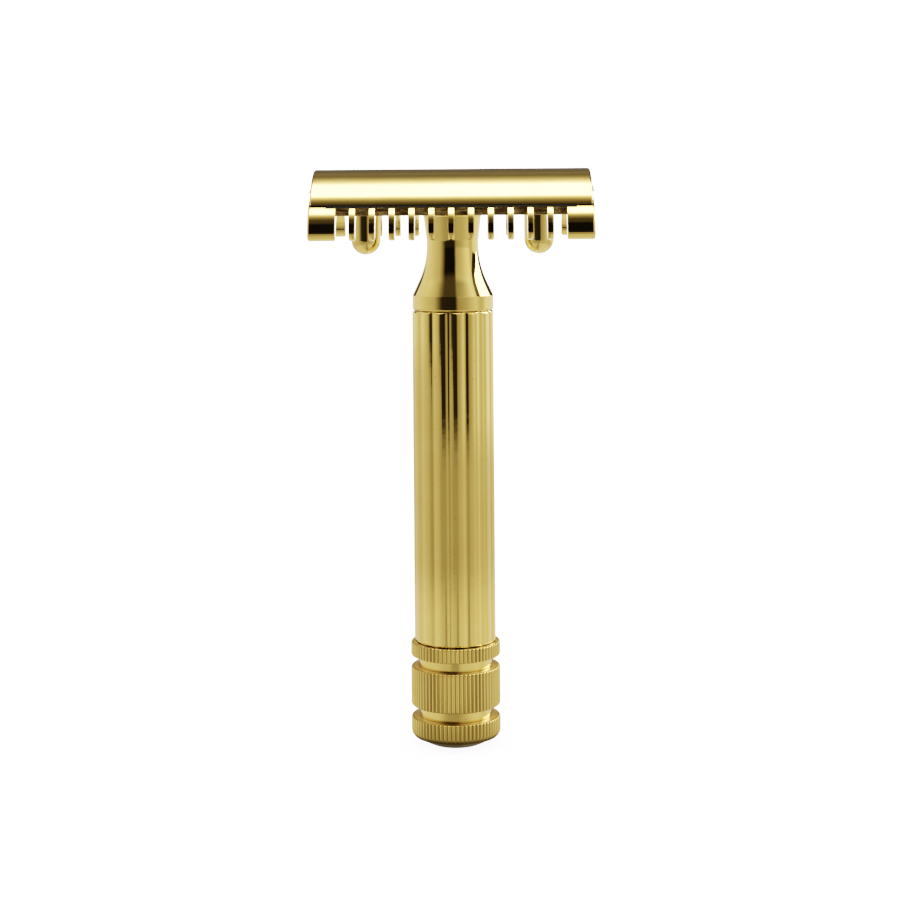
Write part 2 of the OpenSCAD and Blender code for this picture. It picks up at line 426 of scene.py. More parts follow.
def add_boss_and_holes(plate):
    """Adds the boss that meets the neck, and the holes for the stud and the two pegs."""
    low = NECK_HIGH.z
    inside = PLATE_HIGH.z - PLATE_WALL / 2
    above = PLATE_HIGH.z + 2
    boss = [
        (0, low), (BOSS_RADIUS - BOSS_CHAMFER, low), (BOSS_RADIUS, low + BOSS_CHAMFER),
        (BOSS_RADIUS, inside), (0, inside),
    ]
    cut(plate, upright("boss", 0, boss, 96), "UNION")
    for x, radius in ((0, STUD_HOLE), (-PEG_X, PEG_HOLE), (PEG_X, PEG_HOLE)):
        hole = [(0, low - 1), (radius, low - 1), (radius, above), (0, above)]
        cut(plate, upright("hole", x, hole))


def make_peg(name, x):
    """A locating peg with a half-round tip, its root just inside the cap."""
    tip_z = PEG_LOW.z + PEG_RADIUS
    root_z = PEG_HIGH.z
    tip = arc((0, tip_z), PEG_RADIUS, -math.pi / 2, 0, 20)
    outline = [(0, PEG_LOW.z)] + tip[1:] + [(PEG_RADIUS, root_z), (0, root_z)]
    peg = upright(name, x, outline, 96)
    smooth(peg)
    return peg


def make_stud():
    """The stud, with a real right-hand thread cut round it."""
    low, high = STUD_LOW.z, STUD_HIGH.z
    thread_top = high - 2.8
    core = STUD_RADIUS - THREAD_DEPTH
    step = THREAD_PITCH / 10
    heights = [low + i * step for i in range(int((high - low) / step) + 1)] + [high]

    def radius_at(radius, height, angle):
        phase = (height / THREAD_PITCH - angle / (2 * math.pi)) % 1.0
        ridge = min(1.0, max(0.0, 1.25 - 2.5 * abs(phase - 0.5)))
        cutting = min(1.0, max(0.0, (thread_top - height) / THREAD_PITCH))
        start = min(1.0, (height - low) / 0.6)
        threaded = core + THREAD_DEPTH * (1 - cutting * (1 - ridge))
        return min(threaded, core - 0.15 + (THREAD_DEPTH + 0.15) * start) if start < 1 else threaded

    outline = [(0, low)] + [(STUD_RADIUS, z) for z in heights] + [(0, high)]
    stud = revolve("threaded_stud_turned", outline, 96, radius_at)
    smooth(stud, 60)
    return stud


def blade_loops():
    """Flat outline of the blade and of its slot, as (x, distance from the middle line)."""
    half, edge, tab = BLADE_HIGH.x, BLADE_EDGE_LENGTH / 2, BLADE_TAB
    wide = BLADE_HALF_WIDTH
    quarter = [(half, 0), (half, tab - 0.6), (half - 0.6, tab), (edge, tab), (edge, wide), (0, wide)]
    return mirrored_loop(quarter), mirrored_loop(blade_slot_quarter())


def blade_slot_quarter():
    slot = BLADE_SLOT_WIDTH / 2
    stud, peg = STUD_RADIUS + 0.75, PEG_RADIUS + 0.2
    end = BLADE_SLOT_LENGTH / 2
    peg_angle = math.asin(slot / peg)
    stud_angle = math.asin(slot / stud)
    round_peg = arc((PEG_X, 0), peg, peg_angle, math.pi - peg_angle, 14)
    round_stud = arc((0, 0), stud, stud_angle, math.pi / 2, 12)
    round_end = arc((end - slot, 0), slot, 0, math.pi / 2, 8)
    return round_end + round_peg + round_stud


def mirrored_loop(quarter):
    """Closes a loop from its quarter in +x, +y, which runs from the x axis to the y axis."""
    upper = quarter + [(-x, y) for x, y in reversed(quarter) if x > 1e-9]
    lower = [(x, -y) for x, y in reversed(upper) if y > 1e-9]
    return upper + lower


def make_blade():
    """Double-edge blade: a flat pattern with its slot, ground along both edges and bent over
    the bed."""
    bm = bmesh.new()
    for loop in blade_loops():
        ring = [bm.verts.new((x, y, 0)) for x, y in loop]
        for a, b in zip(ring, ring[1:] + ring[:1]):
            bm.edges.new((a, b))
    bmesh.ops.triangle_fill(bm, use_beauty=True, use_dissolve=False, edges=bm.edges)
    grind_start = BLADE_HALF_WIDTH - BLADE_GRIND
    lines = [i * 0.5 for i in range(-20, 21)] + [grind_start, -grind_start]
    for y in lines:
        geometry = bm.verts[:] + bm.edges[:] + bm.faces[:]
        bmesh.ops.bisect_plane(bm, geom=geometry, dist=1e-6, plane_co=(0, y, 0), plane_no=(0, 1, 0))
    bmesh.ops.recalc_face_normals(bm, faces=bm.faces)
    top = bm.faces[:]
    copy = bmesh.ops.duplicate(bm, geom=bm.verts[:] + bm.edges[:] + top)
    lower = {v for v in copy["geom"] if isinstance(v, bmesh.types.BMVert)}
    twins = copy["vert_map"]
    for edge in list(bm.edges):
        a, b = edge.verts
        if edge.is_boundary and a not in lower and b not in lower:
            bm.faces.new((a, b, twins[b], twins[a]))
    for v in bm.verts:
        s = v.co.y
        depth = BLADE_THICKNESS / 2
        past = (abs(s) - grind_start) / BLADE_GRIND
        if past > 0:
            depth *= 1 - 0.85 * past
        middle = BLADE_RADIUS + BLADE_THICKNESS / 2
        radius = middle + (-depth if v in lower else depth)
        angle = s / middle
        v.co = Vector((v.co.x, radius * math.sin(angle), ARCH_Z + radius * math.cos(angle)))
    blade = new_piece("razor_blade", bm)
    smooth(blade, 30)
    return blade


# ---------------------------------------------------------------- handle

def make_neck():
    """Collar, waisted stem and tapped bore, with the spigot that holds it in the tube."""
    low, top = NECK_LOW.z, NECK_HIGH.z
    collar_z = TUBE_HIGH.z
    fillet = COLLAR_TOP_FILLET
    edge = COLLAR_LOWER_ROUND
    waist_centre = (WAIST_RADIUS + WAIST_CURVE, WAIST_Z)
    top_centre = (WAIST_RADIUS + NECK_TOP_CURVE, NECK_TOP_CURVE_Z)
    flare = arc(waist_centre, WAIST_CURVE, math.pi + FLARE_LEAN, math.pi, 50)
    straight_length = (COLLAR_RADIUS - flare[0][0]) / math.tan(FLARE_LEAN)
    fillet_z = flare[0][1] - straight_length - fillet * math.tan(FLARE_LEAN / 2)
    flare += arc(top_centre, NECK_TOP_CURVE, math.pi, math.pi - NECK_TOP_LEAN, 8)
    flare.append((flare[-1][0] + (top - flare[-1][1]) * math.tan(NECK_TOP_LEAN), top))
    rounded = arc((COLLAR_RADIUS - fillet, fillet_z), fillet, 0, FLARE_LEAN, 8)
    lower_edge = arc((COLLAR_RADIUS - edge, collar_z + edge), edge, -math.pi / 2, 0, 6)
    outline = [
        (0, low), (TUBE_BORE - ENTRY_CHAMFER, low), (TUBE_BORE, low + ENTRY_CHAMFER),
        (TUBE_BORE, collar_z),
    ]
    # the two narrow strips keep the shading of the collar's band straight
    band = [(COLLAR_RADIUS, collar_z + edge + 0.07), (COLLAR_RADIUS, fillet_z - 0.07)]
    outline += lower_edge + band + rounded + flare
    outline += [
        (NECK_BORE + ENTRY_CHAMFER, top), (NECK_BORE, top - ENTRY_CHAMFER),
        (NECK_BORE, NECK_BORE_BOTTOM), (0, NECK_BORE_BOTTOM),
    ]
    neck = revolve("neck_turned", outline, 160)
    smooth(neck)
    return neck


def soft_min(a, b, blend):
    """Smaller of two values, rounded over within the blend distance."""
    h = max(0.0, min(1.0, 0.5 + 0.5 * (b - a) / blend))
    return b + (a - b) * h - blend * h * (1 - h)


def rib_surface(angle):
    """Radius of the ribbed grip at an angle: round backs with small fillets in the valleys."""
    pitch = 2 * math.pi / RIB_COUNT
    u = (angle % pitch) - pitch / 2
    offset = TUBE_RADIUS - RIB_RADIUS
    back = offset * math.cos(u) + math.sqrt(RIB_RADIUS ** 2 - (offset * math.sin(u)) ** 2)
    return -soft_min(-back, -(TUBE_RADIUS - RIB_DEPTH), 0.05)


def make_tube():
    low, high = TUBE_LOW.z, TUBE_HIGH.z
    valley = TUBE_RADIUS - RIB_DEPTH
    ends = [0, 0.04, 0.1, 0.16, 0.22, 0.3, 0.4, 0.5, 0.65, 0.8, 1.0]
    middle = [low + 1 + (high - low - 2) * i / 24 for i in range(1, 24)]
    heights = [low + e for e in ends] + middle + [high - e for e in reversed(ends)]

    def radius_at(radius, height, angle):
        if radius < valley - 0.5:
            return radius
        from_end = min(height - low, high - height)
        bevel_radius = valley - 0.12 + 1.1 * from_end
        return soft_min(rib_surface(angle), bevel_radius, 0.12)

    outer = [(TUBE_RADIUS, z) for z in heights]
    outline = [(TUBE_BORE, low)] + outer + [(TUBE_BORE, high), (TUBE_BORE, low)]
    tube = revolve("ribbed_grip", outline, RIB_COUNT * 28, radius_at)
    smooth(tube, 50)
    return tube


def ring_edges(low, high, rim, inner):
    """Half outline of a ring standing proud of a groove, with rounded rims."""
    lower = arc((RING_RADIUS - rim, low + rim), rim, -math.pi / 2, 0, 5)
    upper = arc((RING_RADIUS - rim, high - rim), rim, 0, math.pi / 2, 5)
    return [(inner, low)] + lower + upper + [(inner, high)]


def make_pommel():
    low, top = POMMEL_LOW.z, POMMEL_HIGH.z
    seat = TUBE_LOW.z
    # the foot is part of a sphere, from its flat out to the rim under the bottom ring
    sphere_z = (FOOT_RIM ** 2 - FOOT_FLAT ** 2 + FOOT_RIM_Z ** 2) / (2 * FOOT_RIM_Z)
    sphere = math.hypot(FOOT_FLAT, sphere_z)
    start = -math.atan2(sphere_z, FOOT_FLAT)
    end = -math.atan2(sphere_z - FOOT_RIM_Z, FOOT_RIM)
    outline = [(0, low)] + arc((0, sphere_z), sphere, start, end, 10)
    shoulder_centre = (RING_RADIUS - BOTTOM_RING_SHOULDER, BOTTOM_RING_SHOULDER_Z)
    outline += arc(shoulder_centre, BOTTOM_RING_SHOULDER, -0.9, 0, 8)
    edge_centre = (RING_RADIUS - RING_ROUND, BOTTOM_RING_TOP - RING_ROUND)
    outline += arc(edge_centre, RING_ROUND, 0, math.pi / 2, 5)
    outline.append((LOWER_GROOVE, BOTTOM_RING_TOP))
    outline += ring_edges(WIDE_RING_LOW, WIDE_RING_HIGH, WIDE_RING_ROUND, LOWER_GROOVE)[:-1]
    outline.append((UPPER_GROOVE, WIDE_RING_HIGH))
    outline += ring_edges(TOP_RING_LOW, seat, RING_ROUND, UPPER_GROOVE)[:-1]
    outline += [
        (TUBE_BORE, seat), (TUBE_BORE, top - ENTRY_CHAMFER), (TUBE_BORE - ENTRY_CHAMFER, top), (0, top),
    ]

    def radius_at(radius, height, angle):
        u = (angle * KNURL_COUNT / (2 * math.pi)) % 1.0
        valley = 1 - abs(2 * u - 1)
        rounded = valley ** 1.25
        return min(radius, RING_RADIUS - KNURL_DEPTH * rounded)

    pommel = revolve("knurled_pommel", outline, KNURL_COUNT * 10, radius_at)
    smooth(pommel, 50)
    return pommel


# ---------------------------------------------------------------- materials

class Nodes:
    """Short names for building a node tree."""

    def __init__(self, tree):
        self.tree = tree
        tree.nodes.clear()

    def add(self, kind, inputs=None, **settings):
        node = self.tree.nodes.new(kind)
        for key, value in settings.items():
            setattr(node, key, value)
        for key, value in (inputs or {}).items():
            if isinstance(value, bpy.types.NodeSocket):
                self.tree.links.new(value, node.inputs[key])
            else:
                node.inputs[key].default_value = value
        return node

    def math(self, operation, a, b=0.0, clamp=False):
        node = self.add("ShaderNodeMath", {0: a, 1: b}, operation=operation, use_clamp=clamp)
        return node.outputs[0]

    def remap(self, value, low, high, to_low, to_high, smooth_step=False):
        node = self.add(
            "ShaderNodeMapRange",
            {"Value": value, "From Min": low, "From Max": high, "To Min": to_low, "To Max": to_high},
            interpolation_type="SMOOTHSTEP" if smooth_step else "LINEAR",
        )
        return node.outputs[0]

    def noise(self, vector, scale, detail=3.0, roughness=0.5):
        inputs = {"Vector": vector, "Scale": scale, "Detail": detail, "Roughness": roughness}
        return self.add("ShaderNodeTexNoise", inputs).outputs["Fac"]


def set_mix(nodes, factor, a, b):
    """Colour mix by socket index, because the mix node repeats its socket names."""
    node = nodes.tree.nodes.new("ShaderNodeMix")
    node.data_type = "RGBA"
    for index, value in ((0, factor), (6, a), (7, b)):
        if isinstance(value, bpy.types.NodeSocket):
            nodes.tree.links.new(value, node.inputs[index])
        else:
            node.inputs[index].default_value = value
    return node.outputs[2]


GOLD = (0.90, 0.64, 0.205, 1)
GOLD_WARM = (0.88, 0.60, 0.185, 1)
GOLD_PALE = (1.0, 0.93, 0.75, 1)
# the next two: a darker gold for pits and for painted shade in the knurl valleys, and a near black for
# painted shade and grime in crevices
GOLD_PITS_AND_SHADE = (0.45, 0.31, 0.10, 1)
GRIME_AND_SHADE = (0.10, 0.065, 0.03, 1)
REFLECTION_REACH = 0.0045


def finish_material(n, surface, reach=None):
    """Ends a material. With a reach, a reflection further away than that looks past the piece."""
    if reach:
        path = n.add("ShaderNodeLightPath")
        far = n.math("GREATER_THAN", path.outputs["Ray Length"], reach)
        skip = n.math("MULTIPLY", far, path.outputs["Is Glossy Ray"])
        clear = n.add("ShaderNodeBsdfTransparent")
        surface = n.add("ShaderNodeMixShader", {0: skip, 1: surface.outputs[0], 2: clear.outputs[0]})
    n.add("ShaderNodeOutputMaterial", {"Surface": surface.outputs[0]})


def crevices(n, distance, low=0.35, high=0.8):
    """1 in tight corners, 0 on open surfaces."""
    occlusion = n.add("ShaderNodeAmbientOcclusion", {"Distance": distance}, samples=6)
    return n.remap(occlusion.outputs["AO"], low, high, 1, 0, True)


def gold_material(name, roughness, wave, scratch_stretch, valley=None, reach=None):
    """Gold plate over brass: warm metal, polish waves, hairline scratches, faint smudges, and
    crevices darkened by painted shade and grime. valley, if given, is (inner radius, outer radius) of
    the knurling in metres, which is darker and rougher towards the inner one: painted shade and dirt."""
    material = bpy.data.materials.new(name)
    material.use_nodes = True
    n = Nodes(material.node_tree)
    position = n.add("ShaderNodeTexCoord").outputs["Object"]
    tone = n.noise(position, 160, 2)
    smudge = n.remap(n.noise(position, 260, 4, 0.6), 0.45, 0.75, 0, 1, True)
    colour = set_mix(n, n.remap(tone, 0.35, 0.65, 0, 1), GOLD, GOLD_WARM)
    stretched = n.add("ShaderNodeMapping", {"Vector": position, "Scale": scratch_stretch}).outputs[0]
    hairs = n.noise(stretched, 1.0, 4, 0.65)
    scratch = n.remap(hairs, 0.60, 0.72, 0, 1)
    pits = n.remap(n.noise(position, 2400, 1), 0.72, 0.78, 0, 1)
    rough = n.math("ADD", roughness, n.math("MULTIPLY", smudge, roughness * 0.9))
    rough = n.math("ADD", rough, n.math("MULTIPLY", scratch, 0.07))
    if valley:
        xyz = n.add("ShaderNodeSeparateXYZ", {0: position})
        across = n.math("POWER", xyz.outputs[0], 2.0)
        along = n.math("POWER", xyz.outputs[1], 2.0)
        distance = n.math("SQRT", n.math("ADD", across, along))
        # painted shade and dirt: the knurling gets darker and rougher towards the bottom of its valleys
        valley_shade_and_dirt = n.remap(distance, valley[1], valley[0], 0.18, 0.85, True)
        knurled = n.math("GREATER_THAN", distance, 2 * valley[0] - valley[1])
        valley_shade_and_dirt = n.math("MULTIPLY", valley_shade_and_dirt, knurled)
        colour = set_mix(n, valley_shade_and_dirt, colour, GOLD_PITS_AND_SHADE)
        rough = n.math("ADD", rough, n.math("MULTIPLY", valley_shade_and_dirt, 0.12))
        # the rings' flat upper faces are left as turned
        normal = n.add("ShaderNodeNewGeometry").outputs["True Normal"]
        upward = n.add("ShaderNodeSeparateXYZ", {0: normal}).outputs[2]
        rough = n.math("ADD", rough, n.remap(upward, 0.8, 0.9, 0, 0.3))
    colour = set_mix(n, n.math("MULTIPLY", pits, 0.6), colour, GOLD_PITS_AND_SHADE)
    # painted shade and grime: tight corners found by occlusion are mixed towards near black
    colour = set_mix(n, n.math("MULTIPLY", crevices(n, 0.0005), 0.9), colour, GRIME_AND_SHADE)
    # gold seen in gold is kept from turning orange
    mirrored = n.add("ShaderNodeLightPath").outputs["Is Glossy Ray"]
    colour = set_mix(n, n.math("MULTIPLY", mirrored, 0.5), colour, GOLD_PALE)
    waves = n.add(
        "ShaderNodeBump",
        {"Height": n.noise(position, 420, 2), "Strength": wave, "Distance": 0.0002},
    ).outputs[0]
    fine = n.add(
        "ShaderNodeBump",
        {"Height": hairs, "Strength": 0.05, "Distance": 0.00002, "Normal": waves},
    ).outputs[0]
    surface = n.add(
        "ShaderNodeBsdfPrincipled",
        {"Base Color": colour, "Metallic": 1.0, "Roughness": rough, "Normal": fine},
    )
    finish_material(n, surface, reach)
    return material


def milled_material(name, reach):
    """The bottoms of the slots: the same plate over a surface left rough by the cutter."""
    material = bpy.data.materials.new(name)
    material.use_nodes = True
    n = Nodes(material.node_tree)
    position = n.add("ShaderNodeTexCoord").outputs["Object"]
    stretched = n.add("ShaderNodeMapping", {"Vector": position, "Scale": (350, 2600, 2600)}).outputs[0]
    streaks = n.noise(stretched, 1.0, 4, 0.6)
    patches = n.noise(position, 900, 2)
    shade = n.math("MULTIPLY", n.remap(streaks, 0.4, 0.6, 0, 1), n.remap(patches, 0.35, 0.6, 0.35, 1))
    colour = set_mix(n, shade, (0.26, 0.18, 0.075, 1), (1.0, 0.80, 0.42, 1))
    bump = n.add("ShaderNodeBump", {"Height": streaks, "Strength": 0.5, "Distance": 0.00008}).outputs[0]
    surface = n.add(
        "ShaderNodeBsdfPrincipled",
        {"Base Color": colour, "Metallic": 1.0, "Roughness": 0.48, "Normal": bump},
    )
    finish_material(n, surface, reach)
    return material


def steel_material(name, reach):
    """Thin stainless blade: brushed along its length, with painted shade on the ground edges, which are
    near black and not metal.
    """
    material = bpy.data.materials.new(name)
    material.use_nodes = True
    n = Nodes(material.node_tree)
    position = n.add("ShaderNodeTexCoord").outputs["Object"]
    stretched = n.add("ShaderNodeMapping", {"Vector": position, "Scale": (300, 9000, 9000)}).outputs[0]
    brush = n.noise(stretched, 1.0, 4, 0.6)
    xyz = n.add("ShaderNodeSeparateXYZ", {0: position})
    side = n.math("ABSOLUTE", xyz.outputs[1])
    ground = n.remap(side, (BLADE_HIGH.y - 0.65) * MM, (BLADE_HIGH.y - 0.55) * MM, 0, 1)
    # painted shade: the ground edges are near black, and not metal
    colour = set_mix(n, ground, (0.50, 0.51, 0.53, 1), (0.012, 0.008, 0.004, 1))
    rough = n.remap(brush, 0.3, 0.7, 0.2, 0.32)
    metal_share = n.math("SUBTRACT", 1.0, ground)
    bump = n.add("ShaderNodeBump", {"Height": brush, "Strength": 0.15, "Distance": 0.00002}).outputs[0]
    surface = n.add(
        "ShaderNodeBsdfPrincipled",
        {
            "Base Color": colour, "Metallic": metal_share, "Roughness": rough,
            "Specular IOR Level": 0.03, "Normal": bump,
        },
    )
    finish_material(n, surface, reach)
    return material


# ---------------------------------------------------------------- assembly

def place(piece, body, slot, materials, *nodes):
    piece.data.materials.clear()
    for material in materials:
        piece.data.materials.append(material)
    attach(piece, body)
    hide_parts(*nodes)


def build_razor():
    head = gold_material("gold_head", 0.04, 0.05, (2500, 300, 2500), reach=REFLECTION_REACH)
    milled = milled_material("gold_milled", REFLECTION_REACH)
    handle = gold_material("gold_handle", 0.035, 0.04, (2500, 2500, 120))
    knurl = gold_material(
        "gold_knurl", 0.12, 0.05, (1800, 1800, 300),
        valley=((RING_RADIUS - KNURL_DEPTH) * MM, RING_RADIUS * MM),
    )
    steel = steel_material("blade_steel", REFLECTION_REACH)
    place(make_cap(), "cap_assembly", "gold_head", [head], "cap")
    place(make_stud(), "cap_assembly", "gold_head", [head], "threaded_stud")
    place(make_peg("left_locating_peg", -PEG_X), "cap_assembly", "gold_head", [head], "left_peg")
    place(make_peg("right_locating_peg", PEG_X), "cap_assembly", "gold_head", [head], "right_peg")
    place(make_blade(), "loose_blade", "blade_steel", [steel], "blade")
    plate = make_plate()
    place(plate, "guard", "gold_head", [head, milled], "base_plate")
    mill_slot_roots(plate)
    place(make_neck(), "handle", "gold_handle", [handle], "neck")
    place(make_tube(), "handle", "gold_handle", [handle], "grip_tube")
    place(make_pommel(), "handle", "gold_knurl", [knurl], "pommel")


# ---------------------------------------------------------------- studio

# The camera is level with the head, a little to the right of the razor's middle plane.
CAMERA_DISTANCE = 0.2952
CAMERA_Z = 0.0859
CAMERA_TURN = math.radians(0.85)
CAMERA_ROLL = math.radians(0.45)
CAMERA_LENS = 76.8
CAMERA_SHIFT = (-0.0022, -0.298)

# Azimuths are in degrees round the razor: 0 towards the camera, 90 to the right, 180 behind.
# Heights are in degrees over the horizon.
# Brightness of the walls and the far table at each azimuth. A dark room lies in front, a little to
# the left.
WALLS = [
    (-180, 2.4), (-174, 2.4), (-168, 0.85), (-114, 0.86), (-90, 0.70), (-56, 0.49), (-48, 0.34),
    (-42, 0.20), (-36, 0.10), (-31, 0.035), (7, 0.025), (11, 0.12), (14, 0.24), (18, 0.32),
    (30, 0.38), (42, 0.45), (54, 0.60), (70, 0.78), (86, 0.54), (96, 0.60), (108, 1.0),
    (150, 1.05), (168, 0.85), (174, 2.4), (180, 2.4),
]
DARK_ROOM = (-30, 6)
RIGHT_WALL = (16, 80)
BACK_DROP_MIDDLE = 0.14
BACK_DROP_SIDES = 0.06

# Window behind on the right
WINDOW_LEVEL = 6.0
WINDOW_START, WINDOW_END = 97.0, 136
WINDOW_LOW, WINDOW_HIGH = 3, 48
WINDOW_CORNER = 24.0
WINDOW_FRAME_LEVEL = 0.03
WINDOW_FRAME_START = 84.0
WINDOW_FRAME_LOW, WINDOW_FRAME_HIGH = 5, 50

# Soft box overhead, in degrees from its middle
SOFTBOX_LEVEL = 6.0
SOFTBOX_LEAN = math.radians(4)
SOFTBOX_EDGE = 12.5
SOFTBOX_FADE = 0.18
SOFTBOX_LENGTHENING = 0.6

# Table, in metres from the razor: it shows its own brightness up to TABLE_NEAR and mirrors the walls
# beyond TABLE_FAR
TABLE_NEAR, TABLE_FAR = 0.275, 0.44
NEAR_TABLE_LEVEL = 0.32
FOOT_SHADOW_IN, FOOT_SHADOW_OUT = 0.0072, 0.012
FOOT_SHADOW_LEVEL = 0.3
CONTACT_REACH = 0.007
CONTACT_LEVEL = 2.0
WHITE = 3.0

# Response of the camera: the light that reaches it against the level that it is shown at
RESPONSE = [
    (0.01, 0.0042), (0.02, 0.0101), (0.04, 0.0282), (0.08, 0.0797), (0.12, 0.1389), (0.18, 0.2267),
    (0.3, 0.3749), (0.5, 0.5453), (0.8, 0.6956), (1.2, 0.812), (1.8, 0.91), (2.4, 0.97),
]


def wall_level(n, azimuth):
    """Brightness at an azimuth in degrees, from the list of walls."""
    ramp = n.add("ShaderNodeValToRGB", {"Fac": n.remap(azimuth, -180, 180, 0, 1)})
    stops = ramp.color_ramp.elements
    for stop in list(stops)[1:]:
        stops.remove(stop)
    for i, (angle, level) in enumerate(WALLS):
        stop = stops[0] if i == 0 else stops.new((angle + 180) / 360)
        stop.position = (angle + 180) / 360
        stop.color = (level, level, level, 1)
    return ramp.outputs["Color"]


def band(n, value, low, high, edge):
    """1 between low and high, fading to 0 over the edge width beyond them."""
    rise = n.remap(n.math("SUBTRACT", value, low), -edge, 0, 0, 1, True)
    fall = n.remap(n.math("SUBTRACT", value, high), 0, edge, 1, 0, True)
    return n.math("MULTIPLY", rise, fall)


def blend(n, factor, a, b):
    """Number a where the factor is 0, number b where it is 1."""
    difference = n.math("SUBTRACT", b, a)
    return n.math("ADD", a, n.math("MULTIPLY", factor, difference))


def azimuth_of(n, x, y):
    return n.math("DEGREES", n.math("ARCTAN2", x, n.math("MULTIPLY", y, -1.0)))


def make_floor():
    """A white table top that glows with painted brightness instead of being lit. Reflections see how it
    darkens towards the dark room in front.
    """
    bpy.ops.mesh.primitive_grid_add(x_subdivisions=2, y_subdivisions=2, size=6)
    floor = bpy.context.object
    floor.name = "floor"
    floor.location.z = -0.0002
    material = bpy.data.materials.new("table")
    material.use_nodes = True
    n = Nodes(material.node_tree)
    xyz = n.add("ShaderNodeSeparateXYZ", {0: n.add("ShaderNodeTexCoord").outputs["Object"]})
    x, y = xyz.outputs[0], xyz.outputs[1]
    azimuth = azimuth_of(n, x, y)
    walls = wall_level(n, azimuth)
    distance = n.math("SQRT", n.math("ADD", n.math("MULTIPLY", x, x), n.math("MULTIPLY", y, y)))
    # the change comes further out towards the left edge of the dark room
    oblique = n.remap(azimuth, -29, -22, 0.55, 1, True)
    near = n.remap(n.math("MULTIPLY", distance, oblique), TABLE_NEAR, TABLE_FAR, 1, 0, True)
    near_level = n.math("ADD", n.math("MULTIPLY", walls, 0.35), NEAR_TABLE_LEVEL)
    beside = n.remap(n.math("ABSOLUTE", x), 0.008, 0.018, 0, 0.22, True)
    nearest = n.remap(distance, 0.09, 0.15, 1, 0, True)
    near_level = n.math("ADD", near_level, n.math("MULTIPLY", beside, nearest))
    level = blend(n, near, walls, near_level)
    # the foot stands in its own shadow
    shadow = n.remap(distance, FOOT_SHADOW_IN, FOOT_SHADOW_OUT, FOOT_SHADOW_LEVEL, 1, True)
    level = n.math("MULTIPLY", level, shadow)
    reflected = n.add("ShaderNodeEmission", {"Strength": level})
    # painted contact shadow: the white that the camera sees is dimmed by occlusion where the razor is
    # close
    contact = n.add("ShaderNodeAmbientOcclusion", {"Distance": CONTACT_REACH}, samples=8)
    seen_level = n.remap(contact.outputs["AO"], 0.0, 0.9, CONTACT_LEVEL, WHITE)
    seen = n.add("ShaderNodeEmission", {"Strength": seen_level})
    camera_ray = n.add("ShaderNodeLightPath").outputs["Is Camera Ray"]
    top = n.add("ShaderNodeMixShader", {0: camera_ray, 1: reflected.outputs[0], 2: seen.outputs[0]})
    # clear from below, so that the underside of the razor can be looked at
    from_below = n.add("ShaderNodeNewGeometry").outputs["Backfacing"]
    clear = n.add("ShaderNodeBsdfTransparent")
    shader = n.add("ShaderNodeMixShader", {0: from_below, 1: top.outputs[0], 2: clear.outputs[0]})
    n.add("ShaderNodeOutputMaterial", {"Surface": shader.outputs[0]})
    floor.data.materials.append(material)


def add_window(n, azimuth, height, level):
    """A bright window, its lower near corner cut off, with a black frame on its near side."""
    slant = n.math("MAXIMUM", n.math("SUBTRACT", WINDOW_CORNER, height), 0.0)
    frame_start = n.math("ADD", n.math("MULTIPLY", slant, 0.8), WINDOW_FRAME_START)
    window_start = n.math("ADD", n.math("MULTIPLY", slant, 1.4), WINDOW_START)
    frame_across = band(n, azimuth, frame_start, window_start, 2)
    frame_up = band(n, height, WINDOW_FRAME_LOW, WINDOW_FRAME_HIGH, 2)
    level = blend(n, n.math("MULTIPLY", frame_across, frame_up), level, WINDOW_FRAME_LEVEL)
    window_across = band(n, azimuth, window_start, WINDOW_END, 2)
    window_up = band(n, height, WINDOW_LOW, WINDOW_HIGH, 2)
    return blend(n, n.math("MULTIPLY", window_across, window_up), level, WINDOW_LEVEL)


def add_soft_box(n, x, y, z, level):
    """A soft box overhead, leaning a little to the back, with a long soft edge."""
    cosine, sine = math.cos(SOFTBOX_LEAN), math.sin(SOFTBOX_LEAN)
    up = n.math("ADD", n.math("MULTIPLY", z, cosine), n.math("MULTIPLY", y, sine))
    back = n.math("SUBTRACT", n.math("MULTIPLY", y, cosine), n.math("MULTIPLY", z, sine))
    across = n.math("MULTIPLY", n.math("DEGREES", n.math("ARCTAN2", x, up)), SOFTBOX_LENGTHENING)
    along = n.math("DEGREES", n.math("ARCTAN2", back, up))
    off = n.math("SQRT", n.math("ADD", n.math("POWER", across, 2.0), n.math("POWER", along, 2.0)))
    outside = n.math("MAXIMUM", n.math("SUBTRACT", off, SOFTBOX_EDGE), 0.0)
    fade = n.math("EXPONENT", n.math("MULTIPLY", outside, -SOFTBOX_FADE))
    return n.math("ADD", level, n.math("MULTIPLY", fade, SOFTBOX_LEVEL))


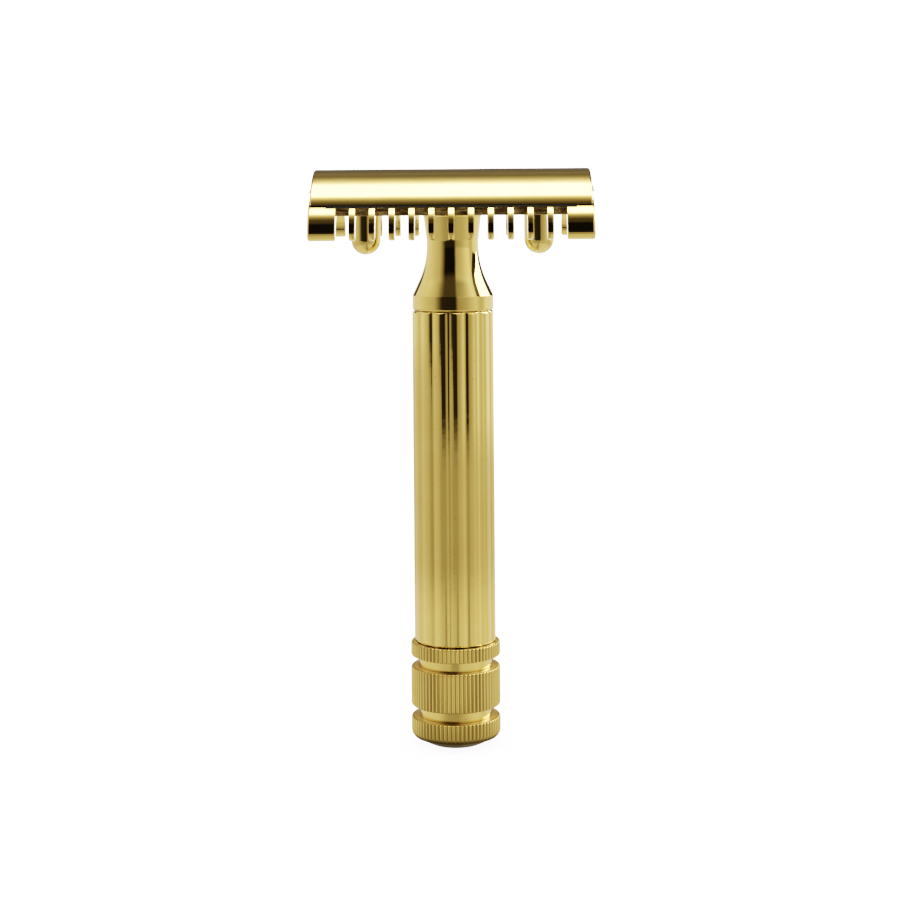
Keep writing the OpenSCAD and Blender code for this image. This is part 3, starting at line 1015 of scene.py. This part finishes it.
def make_world():
    """The studio round the razor: a soft box overhead, a bright window behind on the right,
    pale walls, and a dark room in front. The camera sees plain white."""
    world = bpy.data.worlds.new("studio")
    bpy.context.scene.world = world
    world.use_nodes = True
    n = Nodes(world.node_tree)
    xyz = n.add("ShaderNodeSeparateXYZ", {0: n.add("ShaderNodeTexCoord").outputs["Generated"]})
    x, y, z = xyz.outputs[0], xyz.outputs[1], xyz.outputs[2]
    azimuth = azimuth_of(n, x, y)
    height = n.math("DEGREES", n.math("ARCSINE", z))
    level = wall_level(n, azimuth)
    # the backdrop is darker than the table in front of it, and darkest at its sides. Right of the
    # middle it starts at the table, and left of it a little higher up
    above = n.remap(height, 0, 2, 0, 1)
    from_front = n.math("ABSOLUTE", azimuth)
    behind = n.remap(from_front, 136, 142, 0, 1, True)
    risen = n.math("MAXIMUM", n.remap(height, 4, 9, 0, 1, True), n.math("GREATER_THAN", azimuth, 0.0))
    backdrop = n.remap(from_front, 158, 168, BACK_DROP_SIDES, BACK_DROP_MIDDLE, True)
    level = blend(n, n.math("MULTIPLY", behind, n.math("MULTIPLY", above, risen)), level, backdrop)
    # the walls fade towards the ceiling
    level = n.math("MULTIPLY", level, n.remap(height, 36, 50, 1, 0.4, True))
    # above the horizon the dark room is darker still, and the wall on the right is brighter
    front = n.math("MULTIPLY", band(n, azimuth, *DARK_ROOM, 5), above)
    level = n.math("MULTIPLY", level, blend(n, front, 1.0, 0.4))
    right_wall = n.math("MULTIPLY", band(n, azimuth, *RIGHT_WALL, 5), above)
    level = n.math("MULTIPLY", level, blend(n, right_wall, 1.0, 1.35))
    # the ceiling gives a faint light of its own, in two steps
    level = n.math("ADD", level, n.remap(height, 30, 42, 0, 0.055, True))
    level = n.math("ADD", level, n.remap(height, 48, 60, 0, 0.06, True))
    level = add_window(n, azimuth, height, level)
    level = add_soft_box(n, x, y, z, level)
    studio = n.add("ShaderNodeBackground", {"Strength": level})
    white = n.add("ShaderNodeBackground", {"Strength": WHITE})
    for background in (studio, white):
        background.inputs["Color"].default_value = (1, 1, 1, 1)
    camera_ray = n.add("ShaderNodeLightPath").outputs["Is Camera Ray"]
    shader = n.add("ShaderNodeMixShader", {0: camera_ray, 1: studio.outputs[0], 2: white.outputs[0]})
    n.add("ShaderNodeOutputWorld", {"Surface": shader.outputs[0]})


def make_camera():
    data = bpy.data.cameras.new("camera")
    camera = bpy.data.objects.new("camera", data)
    bpy.context.scene.collection.objects.link(camera)
    x = CAMERA_DISTANCE * math.sin(CAMERA_TURN)
    y = -CAMERA_DISTANCE * math.cos(CAMERA_TURN)
    camera.location = (x, y, CAMERA_Z)
    camera.rotation_euler = (math.pi / 2, CAMERA_ROLL, CAMERA_TURN)
    data.lens = CAMERA_LENS
    data.sensor_width = 36
    data.clip_start = 0.01
    data.clip_end = 20
    bpy.context.scene.camera = camera
    # the shift belongs to this one viewpoint, so it goes back to zero wherever else the camera is put
    for channel, shift in zip(("shift_x", "shift_y"), CAMERA_SHIFT):
        driver = data.driver_add(channel).driver
        driver.type = "SCRIPTED"
        where = driver.variables.new()
        where.name = "y"
        where.type = "TRANSFORMS"
        where.targets[0].id = camera
        where.targets[0].transform_type = "LOC_Y"
        where.targets[0].transform_space = "WORLD_SPACE"
        driver.expression = f"{shift} if abs(y - {y:.6f}) < 0.001 else 0"


def set_colour_management():
    """Shows the light through the response curve of the camera."""
    settings = bpy.context.scene.view_settings
    settings.view_transform = "Standard"
    settings.look = "None"
    settings.use_curve_mapping = True
    mapping = settings.curve_mapping
    mapping.white_level = (WHITE, WHITE, WHITE)
    points = mapping.curves[3].points
    for light, level in RESPONSE:
        points.new(light / WHITE, level)
    mapping.update()


build_razor()
make_floor()
make_world()
make_camera()
set_colour_management()
